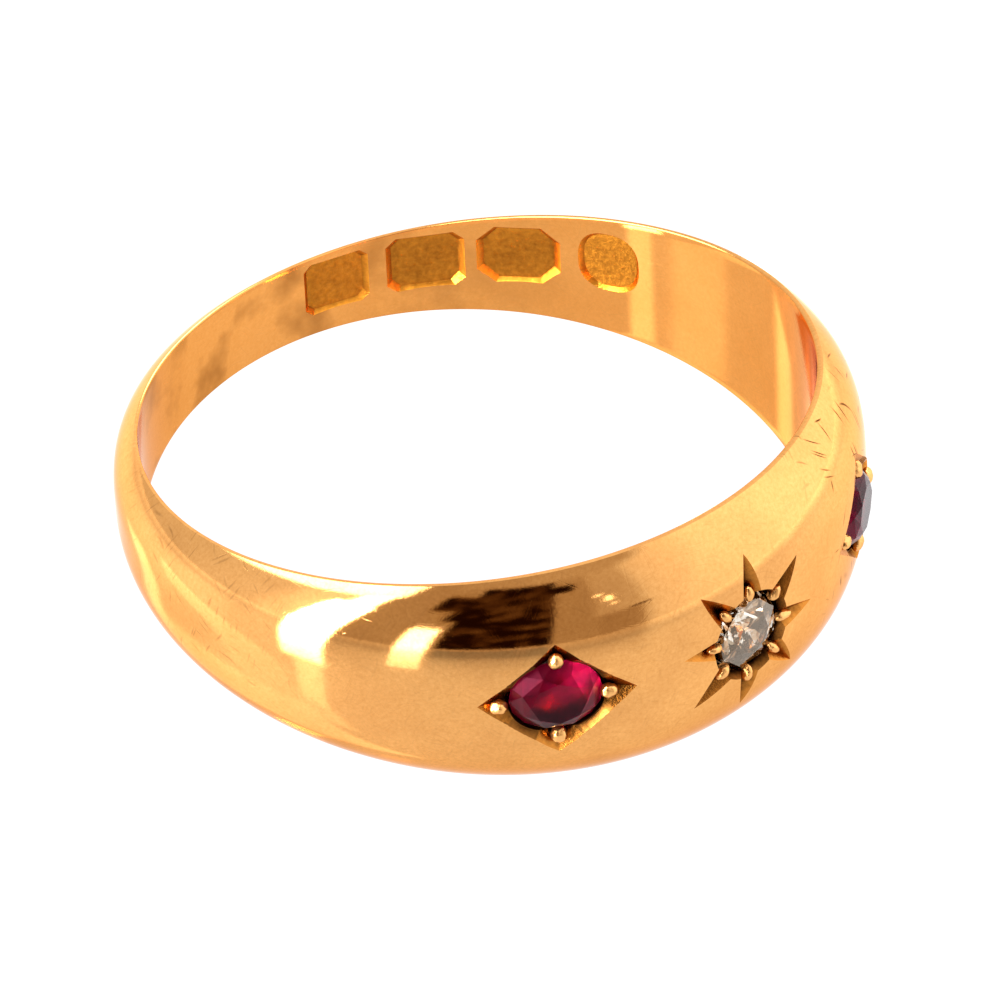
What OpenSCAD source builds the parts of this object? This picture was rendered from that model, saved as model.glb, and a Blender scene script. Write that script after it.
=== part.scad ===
// A gold gypsy ring: a star cut diamond between two rubies in lozenge cuts, all sunk into a domed band.
// The ring lies on its side as it rests on a table, with its stones toward -Y and the wide front low.

/* [Band] */
// Diameter of the finger hole
finger_hole_d = 17.5; // [15:0.1:21]
// Width of the band at the front, where the stones are
front_width = 6.7; // [6:0.1:9]
// Width of the band at the back
back_width = 2.4; // [2:0.05:5]
// Thickness of the gold at the front
front_thickness = 1.4; // [1.35:0.05:2.2]
// Thickness of the gold at the back
back_thickness = 0.65; // [0.6:0.05:1.4]
// How fast the thickness falls off from the front: 1 is as fast as the width, more is faster
thinning = 1.5; // [1:0.1:2]
// Height of the rounded side at the front, from the finger hole to where the dome starts
edge_height = 0.18; // [0.1:0.01:0.4]
// How far the inner edge is rounded back along the finger hole, at the front
inner_round = 0.06; // [0.04:0.01:0.3]
// Power of the dome's curve: 2 is an arch, more is flatter on top and steeper at the sides
dome_power = 3.2; // [2:0.1:4.5]

/* [Diamond] */
// Diameter of the round diamond
diamond_d = 2.2; // [1.8:0.05:2.4]
// Height of its crown above the girdle
diamond_crown = 0.38; // [0.25:0.01:0.5]
// Depth of its pavilion below the girdle
diamond_pavilion = 0.85; // [0.6:0.01:0.9]
// Width of its table as a share of the diameter
diamond_table = 0.5; // [0.4:0.01:0.6]
// How far its girdle lies below the crest of the dome
diamond_sunk = 0.4; // [0.3:0.01:0.48]
// Distance from the middle of the star to the tips of its points
star_r = 2.35; // [2:0.05:2.6]
// Number of points of the star
star_points = 8; // [6:1:9]
// Half width of a point where it meets the stone
star_half_width = 0.36; // [0.25:0.01:0.4]
// Angle of the star from upright, clockwise
star_angle = 6; // [-20:1:20]

/* [Rubies] */
// Length of the oval rubies round the band
ruby_length = 2.45; // [2:0.05:2.7]
// Width of the rubies across the band
ruby_width = 2.1; // [1.8:0.05:2.3]
// Height of their crown above the girdle
ruby_crown = 0.42; // [0.3:0.01:0.5]
// Depth of their pavilion below the girdle
ruby_pavilion = 0.75; // [0.5:0.01:0.85]
// Width of their table as a share of the stone
ruby_table = 0.6; // [0.5:0.01:0.7]
// How far their girdle lies below the crest of the dome
ruby_sunk = 0.3; // [0.25:0.01:0.4]
// Angle round the band from the diamond to the left ruby
left_ruby_angle = 31.5; // [29:0.5:45]
// Angle round the band from the diamond to the right ruby
right_ruby_angle = 34; // [29:0.5:45]
// Length of the lozenge cuts round the band
lozenge_length = 4.1; // [3.8:0.05:4.6]
// Height of the lozenge cuts across the band
lozenge_height = 3.4; // [3.2:0.05:4]
// Size of a lozenge's floor as a share of its rim
lozenge_floor = 0.72; // [0.68:0.01:0.85]

/* [Setting] */
// Radius of the grains that hold the stones
grain_r = 0.2; // [0.16:0.01:0.22]
// Distance of a grain's centre from the girdle, outward and upward alike
grain_offset = 0.16; // [0.16:0.01:0.18]
// Gap between a stone and its seat
stone_gap = 0.03; // [0.02:0.005:0.05]
// Thickness of the stones at the girdle
girdle = 0.06; // [0.04:0.01:0.1]
// Diameter of the light holes behind the stones
light_hole_d = 1; // [0.8:0.05:1.2]
// Height of the floor of the cuts above the girdle
cut_floor = 0.02; // [0:0.01:0.04]

/* [Stamped cartouches] */
// Depth of the cartouches in the wall of the finger hole
mark_depth = 0.1; // [0.05:0.01:0.15]
// Width of the largest cartouche, round the band
mark_width = 2.1; // [1.8:0.05:2.3]
// Height of the cartouches, across the band
mark_height = 1.6; // [1.3:0.05:1.7]
// How far the cartouches stand above the middle, as a share of the room over them
mark_rise = 0.5; // [0:0.05:0.6]
// Angle from the middle of one cartouche to the next
mark_step_angle = 16.3; // [15:0.1:18]
// Angle from the diamond to the cartouche nearest the back
first_mark_angle = 163; // [160:1:180]

/* [Hidden] */
$fn = 48;
hole_r = finger_hole_d / 2;
// Sections round the band, and steps over the dome and round each inner edge
sections = 96;
dome_steps = 16;
corner_steps = 3;
corner_sweep = 66;
// How far solids that are cut away later, or that cut, run on past the wall of the finger hole
inside = 0.4;
// How far the star's grooves run in under the stone, and how far cuts run on past the dome
groove_reach = 0.1;
overshoot = 1.4;
// Main facets of a stone, and its rings of corners as shares of its radius
facets = 8;
half_facet = 180 / facets;
crown_share = 0.75;
lower_share = 0.3;
culet_share = 0.1;
// Width, height and cut corner of each angular cartouche, as shares of the largest, from the back
mark_shares = [[0.85, 1, 0.25], [0.95, 1.05, 0.3], [1, 1.1, 0.5]];
oval_shares = [0.8, 1.15];
oval_sides = 24;
oval_power = 0.8;

// Fullness of the band at a turn from the front: 1 at the front, 0 at the back
function fullness(turn) = (1 + cos(turn)) / 2;
function band_width(turn) = back_width + (front_width - back_width) * fullness(turn);
function band_thickness(turn) =
    back_thickness + (front_thickness - back_thickness) * pow(fullness(turn), thinning);
function edge_at(turn) = edge_height * band_thickness(turn) / front_thickness;
function round_at(turn) = inner_round * band_thickness(turn) / front_thickness;
function crest(turn) = hole_r + band_thickness(turn);

// Radius of the domed outside at a turn and a height across the band
function dome(share) = max(0, 1 - pow(abs(share), dome_power));
function outer_radius(turn, z) = hole_r + edge_at(turn)
    + (band_thickness(turn) - edge_at(turn)) * dome(2 * z / band_width(turn));

function polar(turn, radius, z) = [radius * sin(turn), -radius * cos(turn), z];

// Point of the dome that lies across and up from a stone's middle
function dome_point(turn, across, up) =
    let (there = turn + across / crest(turn) * 180 / PI)
    polar(there, outer_radius(there, up), up);

// Point over a stone's girdle plane, across, up and outward from its middle
function seat_point(turn, sunk, across, up, out) =
    let (radius = crest(turn) - sunk + out)
    [radius * sin(turn) + across * cos(turn), -radius * cos(turn) + across * sin(turn), up];

// Closed outline of the band at a turn, as radius and height: dome, upper corner, inside, lower corner
function corner(turn) =
    let (half = band_width(turn) / 2, edge = edge_at(turn), back = round_at(turn))
    [for (i = [1:corner_steps]) let (a = corner_sweep * i / corner_steps)
        [hole_r + edge * (1 - sin(a)), half - back * (1 - cos(a))]];
function dome_outline(turn) =
    let (half = band_width(turn) / 2, edge = edge_at(turn), rise = band_thickness(turn) - edge_at(turn))
    [for (i = [0:dome_steps]) let (share = sin(-90 + 180 * i / dome_steps))
        [hole_r + edge + rise * dome(share), half * share]];
function outline(turn) =
    let (upper = corner(turn), inner = band_width(turn) / 2 - round_at(turn) - inside)
    concat(
        dome_outline(turn),
        upper,
        [[hole_r - inside, inner], [hole_r - inside, -inner]],
        [for (i = [corner_steps - 1:-1:0]) [upper[i][0], -upper[i][1]]]);

band_outlines = [for (i = [0:sections - 1]) outline(360 * i / sections)];
band_points = [for (i = [0:sections - 1]) for (p = band_outlines[i]) polar(360 * i / sections, p[0], p[1])];
outline_size = len(band_outlines[0]);

// The lower edge is flat and slopes from the wide front to the narrow back, so the ring leans on it
rest_tilt = atan((front_width - back_width) / 2 / (2 * hole_r + edge_at(0) + edge_at(180)));
leaning_y = [for (p = band_points) p[1] * cos(rest_tilt) + p[2] * sin(rest_tilt)];
leaning_z = [for (p = band_points) p[2] * cos(rest_tilt) - p[1] * sin(rest_tilt)];
lift = -min(leaning_z);
shift = -(min(leaning_y) + max(leaning_y)) / 2;

// The resting place of anything modelled round the upright axis of the finger hole
module at_rest() {
    translate([0, shift, lift])
        rotate([-rest_tilt, 0, 0])
            children();
}

// The place of a stone, with its girdle on the XY plane and its table toward +Z
module at_seat(turn, sunk) {
    rotate([0, 0, turn])
        translate([0, -(crest(turn) - sunk), 0])
            rotate([90, 0, 0])
                children();
}

// The tapered, domed band, still solid a little way inside the finger hole
module blank() {
    function corner_of(i, j) = (i % sections) * outline_size + j % outline_size;
    faces = [for (i = [0:sections - 1]) for (j = [0:outline_size - 1])
        each [[corner_of(i, j), corner_of(i + 1, j + 1), corner_of(i + 1, j)],
              [corner_of(i, j), corner_of(i, j + 1), corner_of(i + 1, j + 1)]]];
    polyhedron(band_points, faces, convexity = 6);
}

module finger_hole() {
    cylinder(h = 2 * front_width, r = hole_r, center = true);
}

// Seat of a stone: a straight wall round the girdle, a cone under the pavilion and the light hole
module seat(turn, sunk, length, width, pavilion) {
    wall_r = width / 2 + stone_gap;
    light_r = light_hole_d / 2;
    slope = lower_depth(pavilion) / (width / 2 * (1 - lower_share));
    cone_top = -girdle - stone_gap;
    cone_end = cone_top - slope * (wall_r - light_r);
    through = -(band_thickness(turn) - sunk + inside);
    above = sunk + ruby_crown;
    at_seat(turn, sunk)
        scale([length / width, 1, 1])
            rotate_extrude()
                polygon([[0, above], [wall_r, above], [wall_r, cone_top], [light_r, cone_end],
                         [light_r, through], [0, through]]);
}

// One V groove of the star: it rises from the stone to a tip on the dome
module groove(angle) {
    root_r = diamond_d / 2 - groove_reach;
    root = seat_point(0, diamond_sunk, root_r * sin(angle), root_r * cos(angle), cut_floor);
    tip = dome_point(0, star_r * sin(angle), star_r * cos(angle));
    sides = [for (s = [-1, 1]) dome_point(0,
        root_r * sin(angle) + s * star_half_width * cos(angle),
        root_r * cos(angle) - s * star_half_width * sin(angle))];
    polyhedron([root, for (p = [tip, sides[0], sides[1]]) root + overshoot * (p - root)],
        [[0, 1, 2], [0, 3, 1], [0, 2, 3], [1, 3, 2]]);
}

module star() {
    for (i = [0:star_points - 1])
        groove(star_angle + 360 * i / star_points);
}

// A solid that fills the space between the given points
module fill(points) {
    hull()
        polyhedron(points, [[for (i = [0:len(points) - 1]) i]]);
}

// Lozenge cut: its rim lies on the dome at the tips and halfway between them, its floor at the ruby's girdle
module lozenge(turn) {
    half_length = lozenge_length / 2;
    half_height = lozenge_height / 2;
    tips = [[half_length, 0], [0, half_height], [-half_length, 0], [0, -half_height]];
    places = [for (i = [0:3]) each [tips[i], (tips[i] + tips[(i + 1) % 4]) / 2]];
    low = [for (p = places * lozenge_floor) seat_point(turn, ruby_sunk, p[0], p[1], cut_floor)];
    rim = [for (p = places) dome_point(turn, p[0], p[1])];
    fill(concat(low, [for (i = [0:len(places) - 1]) low[i] + overshoot * (rim[i] - low[i])]));
}

// A raised bead of gold beside a stone's girdle
module grain(across, up) {
    length = norm([across, up]);
    reach = (length + grain_offset) / length;
    translate([across * reach, up * reach, grain_offset])
        sphere(r = grain_r);
}

module diamond_grains() {
    at_seat(0, diamond_sunk)
        for (i = [0:star_points - 1])
            let (a = star_angle + 360 * i / star_points)
                grain(diamond_d / 2 * sin(a), diamond_d / 2 * cos(a));
}

module ruby_grains(turn) {
    at_seat(turn, ruby_sunk)
        for (s = [-1, 1]) {
            grain(s * ruby_length / 2, 0);
            grain(0, s * ruby_width / 2);
        }
}

// A bare cartouche stamped into the wall of the finger hole, nearer the upper edge of the band
module cartouche(turn, height, points) {
    rise = mark_rise * (band_width(turn) - height) / 2;
    at_seat(turn, band_thickness(turn))
        translate([0, rise, -inside])
            linear_extrude(inside + mark_depth)
                polygon(points);
}

// A rectangle with its corners cut off, by half width and half height
function cut_corners(w, h, cut) = [[w - cut, h], [w, h - cut], [w, cut - h], [w - cut, -h],
    [cut - w, -h], [-w, cut - h], [-w, h - cut], [cut - w, h]];

// An oval with a flattened top and bottom
function plump_oval(w, h) = [for (i = [0:oval_sides - 1]) let (a = 360 * i / oval_sides)
    [w * sign(sin(a)) * pow(abs(sin(a)), oval_power), h * sign(cos(a)) * pow(abs(cos(a)), oval_power)]];

module cartouches() {
    for (i = [0:len(mark_shares) - 1])
        let (w = mark_shares[i][0] * mark_width / 2, h = mark_shares[i][1] * mark_height / 2,
             cut = mark_shares[i][2] * h)
            cartouche(first_mark_angle - i * mark_step_angle, 2 * h, cut_corners(w, h, cut));
    oval_height = oval_shares[1] * mark_height;
    cartouche(first_mark_angle - len(mark_shares) * mark_step_angle, oval_height,
        plump_oval(oval_shares[0] * mark_width / 2, oval_height / 2));
}

module band() {
    color("#E5A556")
        at_rest()
            union() {
                difference() {
                    blank();
                    finger_hole();
                    star();
                    lozenge(-left_ruby_angle);
                    lozenge(right_ruby_angle);
                    seat(0, diamond_sunk, diamond_d, diamond_d, diamond_pavilion);
                    seat(-left_ruby_angle, ruby_sunk, ruby_length, ruby_width, ruby_pavilion);
                    seat(right_ruby_angle, ruby_sunk, ruby_length, ruby_width, ruby_pavilion);
                    cartouches();
                }
                diamond_grains();
                ruby_grains(-left_ruby_angle);
                ruby_grains(right_ruby_angle);
            }
}

// Corners of a cut stone, ring by ring: table, crown, girdle, pavilion and culet
function ring(sides, rx, ry, height, offset = 0) =
    [for (i = [0:sides - 1]) let (a = 360 * (i + offset) / sides) [rx * cos(a), ry * sin(a), height]];
function lower_depth(pavilion) = pavilion * (1 - lower_share * cos(half_facet)) / (1 - culet_share);
function crown_height(crown, table) = crown * (1 - crown_share * cos(half_facet)) / (1 - table);
function stone_points(length, width, crown, pavilion, table) =
    let (rx = length / 2, ry = width / 2)
    concat(
        ring(facets, table * rx, table * ry, crown),
        ring(facets, crown_share * rx, crown_share * ry, crown_height(crown, table), 0.5),
        ring(2 * facets, rx, ry, 0),
        ring(2 * facets, rx, ry, -girdle),
        ring(facets, lower_share * rx, lower_share * ry, -girdle - lower_depth(pavilion), 0.5),
        ring(facets, culet_share * rx, culet_share * ry, -girdle - pavilion));

module centre_diamond() {
    color("#E9EBEE")
        at_rest()
            at_seat(0, diamond_sunk)
                fill(stone_points(diamond_d, diamond_d, diamond_crown, diamond_pavilion, diamond_table));
}

module ruby(turn) {
    color("#A3123F")
        at_rest()
            at_seat(turn, ruby_sunk)
                fill(stone_points(ruby_length, ruby_width, ruby_crown, ruby_pavilion, ruby_table));
}

module left_ruby() {
    ruby(-left_ruby_angle);
}

module right_ruby() {
    ruby(right_ruby_angle);
}

band();
centre_diamond();
left_ruby();
right_ruby();
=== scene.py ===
# %% [markdown]
# # A gold gypsy ring in Blender
# The ring is one solid band of reddish 18 carat gold. It is wide and domed at the front, where a round old
# cut diamond sits in a star and an oval ruby in a lozenge on each side of it, all sunk flush into the metal.
# It lies on its side on a white table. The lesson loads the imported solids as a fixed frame, remakes the
# band, the grains and the stones with the detail that a jeweller's tools and years of wear leave, and
# lights them as a small product studio does.

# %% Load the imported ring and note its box
import math

import bmesh
import bpy
import numpy as np
from mathutils import Matrix, Vector


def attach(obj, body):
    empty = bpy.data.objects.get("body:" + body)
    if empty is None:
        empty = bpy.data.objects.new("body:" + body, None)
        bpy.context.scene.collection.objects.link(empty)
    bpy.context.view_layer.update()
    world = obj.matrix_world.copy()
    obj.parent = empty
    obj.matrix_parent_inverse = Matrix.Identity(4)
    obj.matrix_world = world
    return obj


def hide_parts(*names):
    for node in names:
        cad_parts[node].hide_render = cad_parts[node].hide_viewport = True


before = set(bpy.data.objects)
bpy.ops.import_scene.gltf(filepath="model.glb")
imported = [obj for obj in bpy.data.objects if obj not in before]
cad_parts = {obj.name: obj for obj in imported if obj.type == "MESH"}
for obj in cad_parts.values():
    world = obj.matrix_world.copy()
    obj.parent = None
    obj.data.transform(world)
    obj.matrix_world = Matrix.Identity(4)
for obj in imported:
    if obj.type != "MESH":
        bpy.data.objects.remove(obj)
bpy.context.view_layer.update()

# %% [markdown]
# ## The sizes of the ring
# A ring is measured by its finger hole, and everything else is set against the wall of that hole. The
# lengths below are in millimetres, as on a jeweller's gauge, and angles round the band start at the
# diamond and grow towards the right ruby. The band leans a little, because its lower edge is flat but
# slopes from the wide front to the narrow back. One matrix lays the finished ring down on the table.

# %% Sizes in millimetres, and the matrix that lays the ring down
HOLE_R = 8.75
FRONT_WIDTH, BACK_WIDTH = 6.7, 2.4
FRONT_THICKNESS, BACK_THICKNESS = 1.4, 0.65
THINNING = 1.5
EDGE_SHARE, ROUND_SHARE = 0.18 / 1.4, 0.06 / 1.4
DOME_POWER = 3.2
LEAN, SHIFT, LIFT = math.radians(6.90118147), 0.40671047, 2.25863076

lay_down = (
    Matrix.Scale(0.001, 4)
    @ Matrix.Translation((0, SHIFT, LIFT))
    @ Matrix.Rotation(-LEAN, 4, "X")
)


def fullness(turn):
    """How full the band is at a turn in degrees: 1 at the front, 0 at the back."""
    return (1 + math.cos(math.radians(turn))) / 2


def band_width(turn):
    return BACK_WIDTH + (FRONT_WIDTH - BACK_WIDTH) * fullness(turn)


def band_thickness(turn):
    return BACK_THICKNESS + (FRONT_THICKNESS - BACK_THICKNESS) * fullness(turn) ** THINNING


def crest(turn):
    return HOLE_R + band_thickness(turn)


def dome(share):
    """Height of the dome at a share of the half width, from 1 at the crest to 0 at the edge."""
    return max(0, 1 - abs(share) ** DOME_POWER)


def outer_radius(turn, z):
    edge = EDGE_SHARE * band_thickness(turn)
    return HOLE_R + edge + (band_thickness(turn) - edge) * dome(2 * z / band_width(turn))


def polar(turn, radius, z):
    angle = math.radians(turn)
    return Vector((radius * math.sin(angle), -radius * math.cos(angle), z))


print("front", FRONT_WIDTH, "mm wide, crest at", crest(0), "mm from the middle of the hole")

# %% [markdown]
# ## Small helpers
# Materials, the world and the geometry trees are all built from nodes. One function adds any node with its
# settings and its inputs, so each later cell reads like a list of what it wires. A second one turns the
# hex colours that a picture editor shows into the linear numbers that Blender's sockets want, and a third
# puts a mesh or a camera into the scene.

# %% Helpers for nodes, colours and objects


def add(tree, kind, inputs=None, **settings):
    """Adds a node with its settings, and fills or links its inputs."""
    node = tree.nodes.new(kind)
    for name, value in settings.items():
        setattr(node, name, value)
    for key, value in (inputs or {}).items():
        if isinstance(value, bpy.types.NodeSocket):
            tree.links.new(value, node.inputs[key])
        else:
            node.inputs[key].default_value = value
    return node


def linear(hex_colour):
    """An sRGB hex colour as linear red, green, blue and alpha."""
    shares = [int(hex_colour[i : i + 2], 16) / 255 for i in (1, 3, 5)]
    return [c / 12.92 if c <= 0.04045 else ((c + 0.055) / 1.055) ** 2.4 for c in shares] + [1]


def put(name, data):
    """A new object with this mesh or camera, linked to the scene."""
    thing = bpy.data.objects.new(name, data)
    bpy.context.scene.collection.objects.link(thing)
    return thing


print("gold #E4A45F is", [round(c, 3) for c in linear("#E4A45F")])

# %% [markdown]
# ## Materials for gold
# The band is 18 carat gold with copper in it, cast, filed and polished, then worn for many years. Polished
# gold is a mirror with a warm tint, so almost all that the eye sees is the room. Wear turns the mirror
# into satin: hairline scratches, tiny pits and a soft blur. All patterns read the Object coordinates in
# millimetres, so a scratch is as fine as a real one, and they stay with the metal from every side.

# %% Start a material, and read a place on it in millimetres


def new_material(name):
    material = bpy.data.materials.new(name)
    material.use_nodes = True
    tree = material.node_tree
    tree.nodes.clear()
    output = add(tree, "ShaderNodeOutputMaterial")
    shader = add(tree, "ShaderNodeBsdfPrincipled")
    tree.links.new(shader.outputs["BSDF"], output.inputs["Surface"])
    return material, tree, shader


def place_in_mm(tree):
    """Object coordinates turned back to the upright ring, in millimetres."""
    upright = Matrix.Rotation(LEAN, 3, "X")
    return add(
        tree,
        "ShaderNodeMapping",
        {
            "Vector": add(tree, "ShaderNodeTexCoord").outputs["Object"],
            "Location": -(upright @ Vector((0, SHIFT, LIFT))),
            "Rotation": (LEAN, 0, 0),
            "Scale": (1000, 1000, 1000),
        },
    ).outputs["Vector"]


# %% [markdown]
# ### Worn gold
# A scratch on worn gold is a fine needle. Voronoi cells that are stretched to a few millimetres by a few
# hundredths hold one needle each: the metal close to a cell's middle is in the scratch, and only a small
# share of the cells, picked by their random colour, has one. Needles lie on the unrolled band, so they
# follow it round, and a slow noise pushes them about, so that they bend and run all ways. They are drawn
# 0.03 mm wide, a little coarser than real ones, to be seen at all.

# %% The unrolled band, and needles on it
UNROLLED_R = 9.6
WANDER, WANDER_FINENESS = 2, 0.4
NEEDLE_CORE, NEEDLE_EDGE = 0.1, 0.32


def unrolled(tree, place):
    """Millimetres round the band and across it."""
    at = add(tree, "ShaderNodeSeparateXYZ", {0: place}).outputs
    front = add(tree, "ShaderNodeMath", {0: at["Y"], 1: -1}, operation="MULTIPLY")
    turn = add(tree, "ShaderNodeMath", {0: at["X"], 1: front.outputs[0]}, operation="ARCTAN2")
    along = add(tree, "ShaderNodeMath", {0: turn.outputs[0], 1: UNROLLED_R}, operation="MULTIPLY")
    return add(tree, "ShaderNodeCombineXYZ", {"X": along.outputs[0], "Y": at["Z"]}).outputs[0]


def wander(tree, flat):
    """The same place, pushed about a little, so that scratches laid on it do not run true."""
    drift = add(tree, "ShaderNodeTexNoise", {"Vector": flat, "Scale": WANDER_FINENESS, "Detail": 1})
    centred = add(
        tree, "ShaderNodeVectorMath", {0: drift.outputs["Color"], 1: (0.5, 0.5, 0.5)}, operation="SUBTRACT"
    )
    push = add(
        tree, "ShaderNodeVectorMath", {0: centred.outputs[0], "Scale": WANDER}, operation="SCALE"
    )
    return add(
        tree, "ShaderNodeVectorMath", {0: flat, 1: push.outputs[0]}, operation="ADD"
    ).outputs[0]


def needles(tree, flat, angle, length, width, share):
    """1 in the middle of a needle, 0 off it. The share is how many of the cells hold one."""
    cell = add(
        tree,
        "ShaderNodeMapping",
        {"Vector": flat, "Rotation": (0, 0, math.radians(angle)), "Scale": (length, width, 1)},
        vector_type="TEXTURE",
    )
    voronoi = add(
        tree,
        "ShaderNodeTexVoronoi",
        {"Vector": cell.outputs[0], "Scale": 1},
        voronoi_dimensions="2D",
    )
    core = add(
        tree,
        "ShaderNodeMapRange",
        {
            "Value": voronoi.outputs["Distance"],
            "From Min": NEEDLE_CORE,
            "From Max": NEEDLE_EDGE,
            "To Min": 1,
            "To Max": 0,
        },
    )
    chance = add(tree, "ShaderNodeSeparateColor", {0: voronoi.outputs["Color"]}).outputs
    held = add(
        tree,
        "ShaderNodeMapRange",
        {"Value": chance[0], "From Min": 1 - share, "From Max": 1 - share / 2},
    )
    return add(
        tree, "ShaderNodeMath", {0: core.outputs[0], 1: held.outputs[0]}, operation="MULTIPLY"
    ).outputs[0]


print("a needle 2 mm long is", round(2 / UNROLLED_R, 2), "radians of the band")

# %% [markdown]
# A ring is knocked where the hand knocks it. Here that is beside the right ruby most of all, and a little
# on the left shoulder, so nicks are strong near two places on the unrolled band and nearly gone elsewhere.
# Inside the band nothing knocks it, but soap and skin leave a brown film that is thickest at the back.

# %% Where the band is knocked, and where film lies
LIGHTLY_KNOCKED = 0.07
KNOCKS = [(6.2, 2, 3.5, 1), (-16, 1.5, 4.5, 0.3)]
FILM_FROM, FILM_TO = -4, 9
INNER_DEPTH = 0.05


def highest(tree, values):
    top = values[0]
    for value in values[1:]:
        top = add(tree, "ShaderNodeMath", {0: top, 1: value}, operation="MAXIMUM").outputs[0]
    return top


def inner_film(tree, place):
    """1 on the wall of the finger hole, and how much brown film lies there. Both are 0 outside."""
    at = add(tree, "ShaderNodeSeparateXYZ", {0: place}).outputs
    flat = add(tree, "ShaderNodeCombineXYZ", {"X": at["X"], "Y": at["Y"]})
    radius = add(tree, "ShaderNodeVectorMath", {0: flat.outputs[0]}, operation="LENGTH")
    inside = add(
        tree,
        "ShaderNodeMapRange",
        {
            "Value": radius.outputs["Value"],
            "From Min": HOLE_R,
            "From Max": HOLE_R + INNER_DEPTH,
            "To Min": 1,
            "To Max": 0,
        },
    )
    back = add(tree, "ShaderNodeMath", {0: at["Y"], 1: at["X"]}, operation="SUBTRACT")
    toward = add(
        tree, "ShaderNodeMapRange", {"Value": back.outputs[0], "From Min": FILM_FROM, "From Max": FILM_TO}
    )
    smear = add(tree, "ShaderNodeTexNoise", {"Vector": place, "Scale": 0.6, "Detail": 3})
    patch = add(
        tree,
        "ShaderNodeMapRange",
        {"Value": smear.outputs["Fac"], "From Min": 0.48, "From Max": 0.68},
    )
    film = inside.outputs[0]
    for share in (toward, patch):
        film = add(tree, "ShaderNodeMath", {0: film, 1: share.outputs[0]}, operation="MULTIPLY").outputs[0]
    return inside.outputs[0], film


def near(tree, value, middle, full_reach, reach, strength):
    """The strength within the full reach of the middle, falling to lightly knocked at the reach."""
    off = add(tree, "ShaderNodeMath", {0: value, 1: middle}, operation="SUBTRACT").outputs[0]
    away = add(tree, "ShaderNodeMath", {0: off}, operation="ABSOLUTE").outputs[0]
    return add(
        tree,
        "ShaderNodeMapRange",
        {
            "Value": away,
            "From Min": full_reach,
            "From Max": reach,
            "To Min": strength,
            "To Max": LIGHTLY_KNOCKED,
        },
    ).outputs[0]


print("knocked at", [round(math.degrees(knock[0] / UNROLLED_R)) for knock in KNOCKS], "degrees")

# %% [markdown]
# Hairlines are long and faint and lie all over the band. Nicks are short, wide and dark. Each layer below
# is an angle in degrees, the length and width of its cells in millimetres, and the share that holds one.

# %% Hairlines and nicks
HAIRLINES = [(4, 2.6, 0.05, 0.2), (-14, 1.7, 0.045, 0.2), (41, 1.5, 0.05, 0.18), (-52, 1.9, 0.05, 0.18)]
NICKS = [(66, 0.8, 0.12, 0.22), (-25, 0.85, 0.1, 0.16)]
HAIR_SHARE = 0.17


def scratches(tree, place, inside):
    """How much hairline and how much nick lies at a place. There are no nicks inside the band."""
    flat = unrolled(tree, place)
    bent = wander(tree, flat)
    hairs = highest(tree, [needles(tree, bent, *setting) for setting in HAIRLINES])
    hairs = add(tree, "ShaderNodeMath", {0: hairs, 1: HAIR_SHARE}, operation="MULTIPLY").outputs[0]
    nicks = highest(tree, [needles(tree, bent, *setting) for setting in NICKS])
    round_band = add(tree, "ShaderNodeSeparateXYZ", {0: flat}).outputs["X"]
    knocked = highest(tree, [near(tree, round_band, *knock) for knock in KNOCKS])
    outside = add(tree, "ShaderNodeMath", {0: 1, 1: inside}, operation="SUBTRACT").outputs[0]
    for share in (knocked, outside):
        nicks = add(tree, "ShaderNodeMath", {0: nicks, 1: share}, operation="MULTIPLY").outputs[0]
    return hairs, nicks


print("layers of hairlines and nicks:", len(HAIRLINES), len(NICKS))

# %% [markdown]
# Under the needles the polish itself is a little uneven: a mottle of about 0.1 mm in the colour and in the
# blur, as hands and cloths leave it, and broader patches where the copper in the gold has browned. In the
# finger hole light goes from gold to gold before it gets out and turns redder, and that redder light is
# painted into the colour of the wall as a redder tone. At a glancing angle this alloy keeps its colour, so
# the tint of the edge is set on the shader as well.

# %% Worn gold
EDGE_TINT = "#FADCC4"
BROWN_SHARE, PAINTED_BOUNCE_SHARE = 0.2, 0.5
MOTTLE_FINENESS, PATCH_FINENESS = 10, 0.5
GLOSSY, DULL = 0.025, 0.06
MARK_RELIEF, MOTTLE_RELIEF = 0.0000014, 0.0000008


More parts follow.
